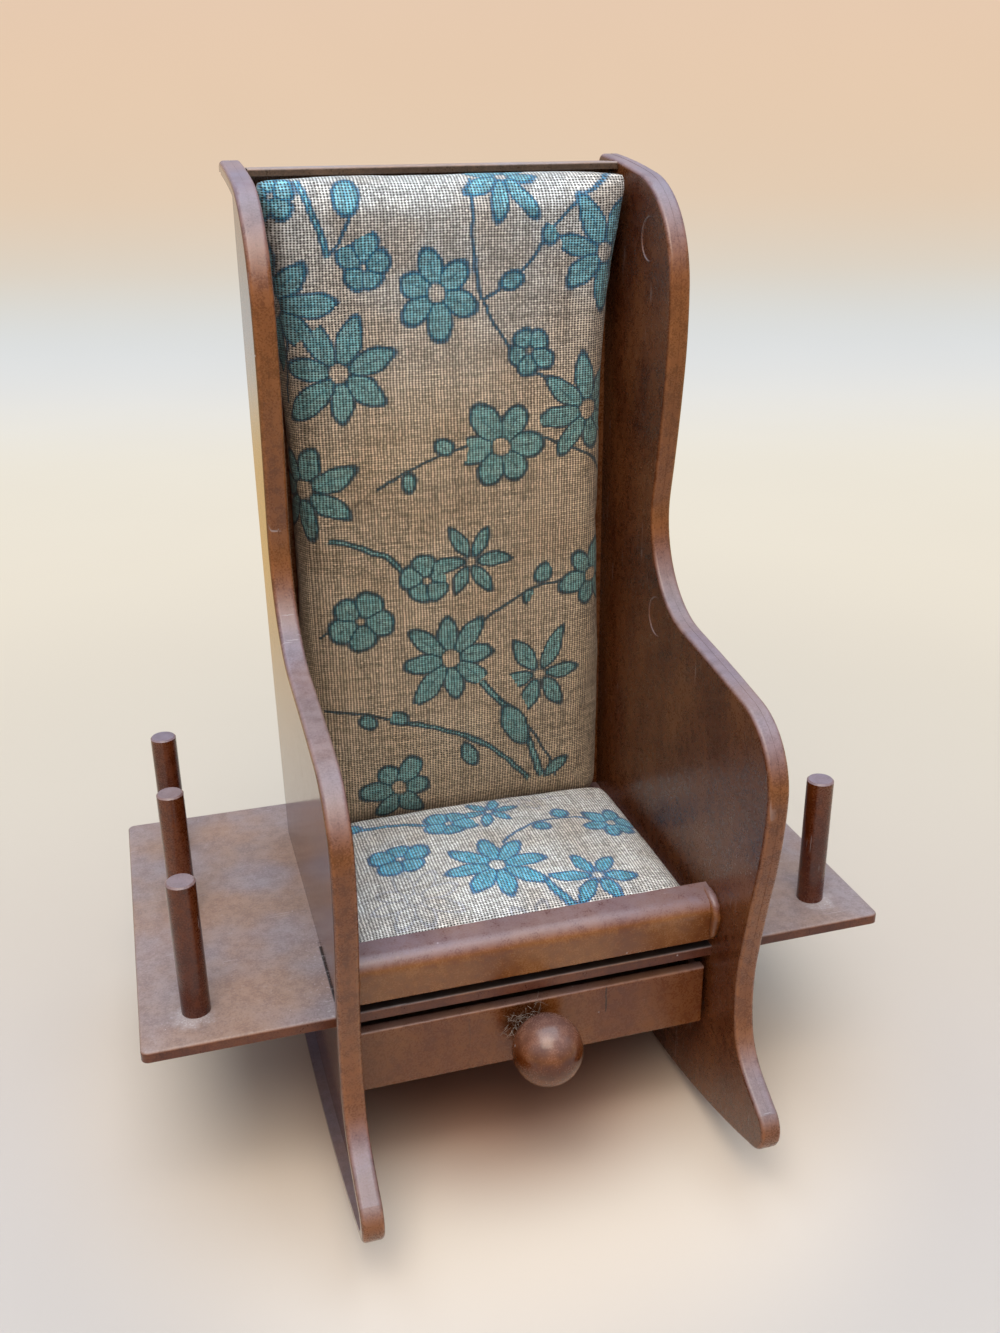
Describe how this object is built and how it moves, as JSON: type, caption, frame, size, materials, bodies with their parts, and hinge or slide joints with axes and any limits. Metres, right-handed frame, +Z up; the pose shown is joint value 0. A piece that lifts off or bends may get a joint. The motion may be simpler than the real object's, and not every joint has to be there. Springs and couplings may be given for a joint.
{
  "type": "sewing caddy",
  "caption": "Small plastic rocking chair that is a sewing caddy: pincushion seat and back in printed cotton, trays with thread pegs at the sides, and a drawer under the seat.",
  "frame": {"origin": "on the floor where the rockers touch it, under the middle of the overall width and depth", "axes": "+Z up, the chair faces -Y, +X to the right of someone who looks at its front"},
  "size_m": [0.164, 0.137, 0.2087],
  "materials": {
    "brown_plastic": "satin",
    "printed_cotton": "matte",
    "padding": "matte",
    "card": "matte",
    "steel": "satin"
  },
  "bodies": {
    "chair": {"back_board": "card", "back_cover": "printed_cotton", "back_foam": "padding", "back_panel": "brown_plastic", "left_back_peg": "brown_plastic", "left_front_peg": "brown_plastic", "left_middle_peg": "brown_plastic", "left_side": "brown_plastic", "right_back_peg": "brown_plastic", "right_front_peg": "brown_plastic", "right_middle_peg": "brown_plastic", "right_side": "brown_plastic", "seat_board": "card", "seat_cover": "printed_cotton", "seat_foam": "padding", "seat_pan": "brown_plastic", "spool_plate": "brown_plastic", "top_rail": "brown_plastic"},
    "drawer": {"drawer_front": "brown_plastic", "drawer_knob": "brown_plastic", "drawer_tray": "brown_plastic", "knob_screw": "steel"}
  },
  "joints": [
    {"name": "drawer_slide", "type": "slide", "parent": "chair", "child": "drawer", "axis": [0, -1, 0], "range_m": [0, 0.045]}
  ]
}
